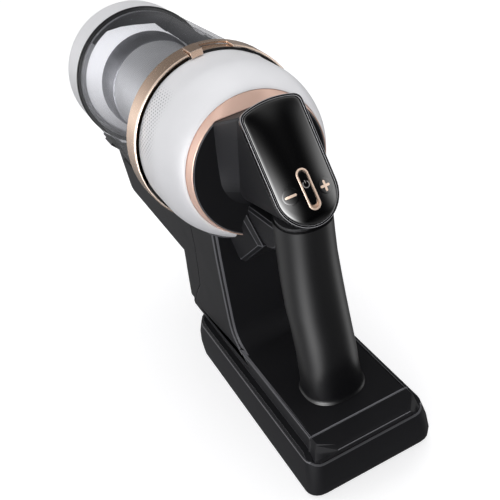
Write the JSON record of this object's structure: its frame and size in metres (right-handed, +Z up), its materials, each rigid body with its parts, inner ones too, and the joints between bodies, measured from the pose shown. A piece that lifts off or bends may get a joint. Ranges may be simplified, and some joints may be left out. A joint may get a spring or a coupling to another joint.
{
  "type": "handheld vacuum cleaner",
  "caption": "Cordless handheld vacuum body with clear cyclone bin, loop handle with control panel, and slab battery foot.",
  "frame": {"origin": "on the battery's flat underside, midway across, straight below the rear opening of the exhaust ring", "axes": "+Z up, +Y forward along the barrel towards the suction inlet and bin door, +X to the user's right"},
  "size_m": [0.1158, 0.3423, 0.2442],
  "materials": {
    "white_plastic": "satin white",
    "rose_gold": "satin rose-gold metallic",
    "smoked_clear": "clear, lightly smoked",
    "black_plastic": "satin black",
    "soft_black": "soft-touch charcoal",
    "gloss_black": "piano black",
    "steel": "brushed",
    "grey_plastic": "satin grey",
    "seal_rubber": "matt",
    "filter_paper": "matt white",
    "circuit_board": "matt green",
    "copper": "plated"
  },
  "bodies": {
    "body": {"exhaust_ring": "white_plastic", "motor_frame": "black_plastic", "exhaust_filter": "filter_paper", "bin_collar": "rose_gold", "trim_plate": "rose_gold", "motor_can": "steel", "stator_core": "grey_plastic", "motor_mount_rear": "seal_rubber", "motor_mount_front": "seal_rubber", "bearing_rear": "steel", "bearing_front": "steel", "bearing_bridge": "black_plastic", "impeller_shroud": "grey_plastic", "suction_duct": "black_plastic", "inlet_coupling": "rose_gold", "inlet_contacts": "copper", "body_shell_rear": "black_plastic", "body_shell_front": "black_plastic", "battery_dock": "black_plastic", "dock_terminal_1": "copper", "dock_terminal_2": "copper", "latch_spring": "steel", "handle_head": "black_plastic", "panel_bezel": "black_plastic", "control_panel": "gloss_black", "button_ring": "rose_gold", "key_mat": "seal_rubber", "control_board": "circuit_board", "grip_sleeve": "soft_black", "grip_core": "black_plastic"},
    "rotor": {"rotor_shaft": "steel", "rotor_magnet": "grey_plastic", "impeller": "grey_plastic"},
    "lock_ring": {"lock_ring": "rose_gold"},
    "bin": {"bin_shell": "smoked_clear", "cyclone_skirt": "grey_plastic", "mesh_grille": "steel", "cyclone_head": "black_plastic", "cyclone_cones": "grey_plastic", "fine_dust_cup": "black_plastic", "filter_frame": "black_plastic", "premotor_filter": "filter_paper", "hinge_leaf_bin": "black_plastic", "hinge_pin": "steel"},
    "door": {"bin_door": "white_plastic", "door_seal": "seal_rubber", "hinge_leaf_door": "black_plastic"},
    "door_latch": {"door_latch": "black_plastic"},
    "battery": {"battery_case": "black_plastic", "battery_lid": "black_plastic", "cell_1": "grey_plastic", "cell_2": "grey_plastic", "cell_3": "grey_plastic", "cell_4": "grey_plastic", "cell_5": "grey_plastic", "battery_board": "circuit_board"},
    "battery_latch": {"battery_latch": "black_plastic"},
    "power_button": {"power_button": "gloss_black"},
    "minus_key": {"minus_key": "gloss_black"},
    "plus_key": {"plus_key": "gloss_black"}
  },
  "joints": [
    {"name": "rotor_spin", "type": "hinge", "parent": "body", "child": "rotor", "pos_m": [0, 0.03, 0.185], "axis": [0, 1, 0], "continuous": true},
    {"name": "lock_twist", "type": "hinge", "parent": "body", "child": "lock_ring", "pos_m": [0, 0.057, 0.185], "axis": [0, 1, 0], "range_deg": [0, 20]},
    {"name": "bin_pull", "type": "slide", "parent": "body", "child": "bin", "axis": [0, 1, 0], "range_m": [0, 0.17]},
    {"name": "door_swing", "type": "hinge", "parent": "bin", "child": "door", "pos_m": [0.0555, 0.2077, 0.185], "axis": [0, 0, -1], "range_deg": [0, 95]},
    {"name": "door_latch_slide", "type": "slide", "parent": "bin", "child": "door_latch", "axis": [0, -1, 0], "range_m": [0, 0.004], "stiffness_N_per_m": 300, "springref_m": -0.004},
    {"name": "battery_drop", "type": "slide", "parent": "body", "child": "battery", "axis": [0, 0, -1], "range_m": [0, 0.06]},
    {"name": "battery_latch_pull", "type": "slide", "parent": "body", "child": "battery_latch", "axis": [0, -1, 0], "range_m": [0, 0.0022], "stiffness_N_per_m": 600, "springref_m": -0.003, "deforming": ["latch_spring"]},
    {"name": "power_press", "type": "slide", "parent": "body", "child": "power_button", "axis": [0, 0.8684, -0.4958], "range_m": [0, 0.0006], "stiffness_N_per_m": 400, "springref_m": -0.0012},
    {"name": "minus_press", "type": "slide", "parent": "body", "child": "minus_key", "axis": [0, 0.8684, -0.4958], "range_m": [0, 0.0006], "stiffness_N_per_m": 400, "springref_m": -0.0012},
    {"name": "plus_press", "type": "slide", "parent": "body", "child": "plus_key", "axis": [0, 0.8684, -0.4958], "range_m": [0, 0.0006], "stiffness_N_per_m": 400, "springref_m": -0.0012}
  ]
}
